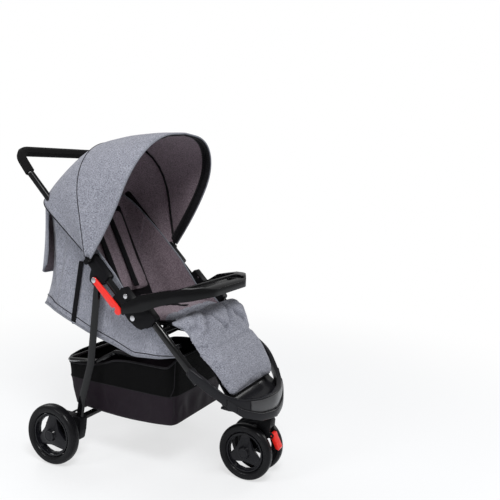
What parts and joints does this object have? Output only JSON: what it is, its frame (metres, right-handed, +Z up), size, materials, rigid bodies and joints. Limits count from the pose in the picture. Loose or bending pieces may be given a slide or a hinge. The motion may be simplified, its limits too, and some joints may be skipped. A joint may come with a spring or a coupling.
{
  "type": "stroller",
  "caption": "Folding three-wheeled child's stroller with a swivelling front caster, arched canopy, reclining padded seat, front tray, footwell and a cloth basket",
  "frame": {"origin": "on the floor, in the middle of the stroller's width and length", "axes": "-Y is the front, +X is the child's left, +Z is up"},
  "size_m": [0.55, 0.8936, 1.0655],
  "materials": {
    "tube": "black gloss paint",
    "plastic": "fine matt grain",
    "panel": "satin silver-grey",
    "red": "smooth",
    "steel": "bright",
    "tyre": "smooth foam rubber",
    "foam": "foam grip",
    "grey_cloth": "heather weave",
    "lining": "plain weave",
    "black_cloth": "mesh and nylon",
    "webbing": "woven webbing"
  },
  "bodies": {
    "frame": {"front_tube_left": "tube", "front_tube_right": "tube", "seat_bar": "tube", "hinge_housing_left": "plastic", "hinge_housing_right": "plastic", "fold_pin_left": "steel", "fold_pin_right": "steel", "nose": "plastic", "nose_panel": "panel", "seat_board": "plastic", "calf_board": "plastic", "seat_tub": "grey_cloth", "basket": "black_cloth", "seat_pad": "lining", "calf_pad": "grey_cloth", "crotch_strap": "webbing"},
    "handle": {"handle_tube": "tube", "handle_grip": "foam", "handle_sleeve_left": "plastic", "handle_sleeve_right": "plastic", "sleeve_rivet_left": "steel", "sleeve_rivet_right": "steel", "upper_bracket_left": "plastic", "upper_bracket_right": "plastic", "leg_pin_left": "steel", "leg_pin_right": "steel", "side_strap_left": "webbing", "side_strap_right": "webbing", "rear_flap": "grey_cloth", "canopy_rear_cloth": "grey_cloth"},
    "rear_legs": {"rear_leg_left": "tube", "rear_leg_right": "tube", "rear_bracket_left": "plastic", "rear_bracket_right": "plastic", "rear_cross_tube": "tube"},
    "rear_wheel_left": {"rear_tyre_left": "tyre", "rear_rim_left": "plastic"},
    "rear_wheel_right": {"rear_tyre_right": "tyre", "rear_rim_right": "plastic"},
    "brake": {"brake_rod": "tube", "brake_pedal_left": "red", "brake_pedal_right": "red"},
    "lower_link": {"seat_link": "tube"},
    "latch": {"fold_latch": "red"},
    "canopy_front": {"canopy_front_bow": "plastic", "canopy_front_cloth": "grey_cloth"},
    "canopy_mid": {"canopy_mid_bow": "plastic"},
    "backrest": {"back_board": "plastic", "back_pad": "lining", "shoulder_strap_left": "webbing", "shoulder_strap_right": "webbing"},
    "caster": {"caster_fork": "plastic", "caster_stem": "steel", "front_axle": "steel"},
    "front_wheel_left": {"front_tyre_left": "tyre", "front_rim_left": "plastic"},
    "front_wheel_right": {"front_tyre_right": "tyre", "front_rim_right": "plastic"},
    "caster_lock": {"swivel_lock": "red"},
    "tray": {"child_tray": "plastic"}
  },
  "joints": [
    {"name": "fold", "type": "hinge", "parent": "frame", "child": "handle", "pos_m": [0, -0.048, 0.507], "axis": [-1, 0, 0], "range_deg": [0, 120], "deforming": ["seat_tub", "basket", "rear_flap", "side_strap_left", "side_strap_right", "shoulder_strap_left", "shoulder_strap_right"]},
    {"name": "leg_fold", "type": "hinge", "parent": "handle", "child": "rear_legs", "pos_m": [0, 0.09519, 0.60777], "axis": [1, 0, 0], "range_deg": [0, 74]},
    {"name": "link_fold", "type": "hinge", "parent": "frame", "child": "lower_link", "pos_m": [0, -0.185, 0.43192], "axis": [-1, 0, 0], "range_deg": [0, 73]},
    {"name": "rear_wheel_left_spin", "type": "hinge", "parent": "rear_legs", "child": "rear_wheel_left", "pos_m": [0.257, 0.234, 0.098], "axis": [1, 0, 0], "continuous": true},
    {"name": "rear_wheel_right_spin", "type": "hinge", "parent": "rear_legs", "child": "rear_wheel_right", "pos_m": [-0.257, 0.234, 0.098], "axis": [1, 0, 0], "continuous": true},
    {"name": "brake_press", "type": "hinge", "parent": "rear_legs", "child": "brake", "pos_m": [0, 0.234, 0.14], "axis": [-1, 0, 0], "range_deg": [0, 20], "stiffness_Nm_per_rad": 0.3, "springref_deg": -17.19},
    {"name": "latch_swing", "type": "hinge", "parent": "handle", "child": "latch", "pos_m": [-0.223, 0.09519, 0.60777], "axis": [1, 0, 0], "range_deg": [0, 25], "stiffness_Nm_per_rad": 0.06, "springref_deg": -28.65},
    {"name": "canopy_fold", "type": "hinge", "parent": "handle", "child": "canopy_front", "pos_m": [0, 0.11039, 0.66539], "axis": [-1, 0, 0], "range_deg": [0, 60], "deforming": ["canopy_front_cloth", "canopy_rear_cloth"]},
    {"name": "canopy_mid_fold", "type": "hinge", "parent": "handle", "child": "canopy_mid", "pos_m": [0, 0.11039, 0.66539], "axis": [-1, 0, 0], "range_deg": [0, 31], "deforming": ["canopy_front_cloth", "canopy_rear_cloth"]},
    {"name": "recline", "type": "hinge", "parent": "handle", "child": "backrest", "pos_m": [0, 0.1344, 0.4615], "axis": [-1, 0, 0], "range_deg": [0, 25], "deforming": ["seat_tub", "rear_flap", "side_strap_left", "side_strap_right", "shoulder_strap_left", "shoulder_strap_right"]},
    {"name": "caster_swivel", "type": "hinge", "parent": "frame", "child": "caster", "pos_m": [0, -0.4, 0.242], "axis": [0, 0, 1], "continuous": true},
    {"name": "front_wheel_left_spin", "type": "hinge", "parent": "caster", "child": "front_wheel_left", "pos_m": [0.04, -0.348, 0.089], "axis": [1, 0, 0], "continuous": true},
    {"name": "front_wheel_right_spin", "type": "hinge", "parent": "caster", "child": "front_wheel_right", "pos_m": [-0.04, -0.348, 0.089], "axis": [1, 0, 0], "continuous": true},
    {"name": "lock_lift", "type": "hinge", "parent": "caster", "child": "caster_lock", "pos_m": [0, -0.424, 0.147], "axis": [-1, 0, 0], "range_deg": [0, 30]},
    {"name": "tray_slide", "type": "slide", "parent": "frame", "child": "tray", "axis": [0, -0.9438, 0.3305], "range_m": [0, 0.08]}
  ],
  "couplings": [
    {"joint": "leg_fold", "follows": "fold", "ratio": 0.614},
    {"joint": "link_fold", "follows": "fold", "ratio": 0.601},
    {"joint": "canopy_mid_fold", "follows": "canopy_fold", "ratio": 0.5}
  ]
}
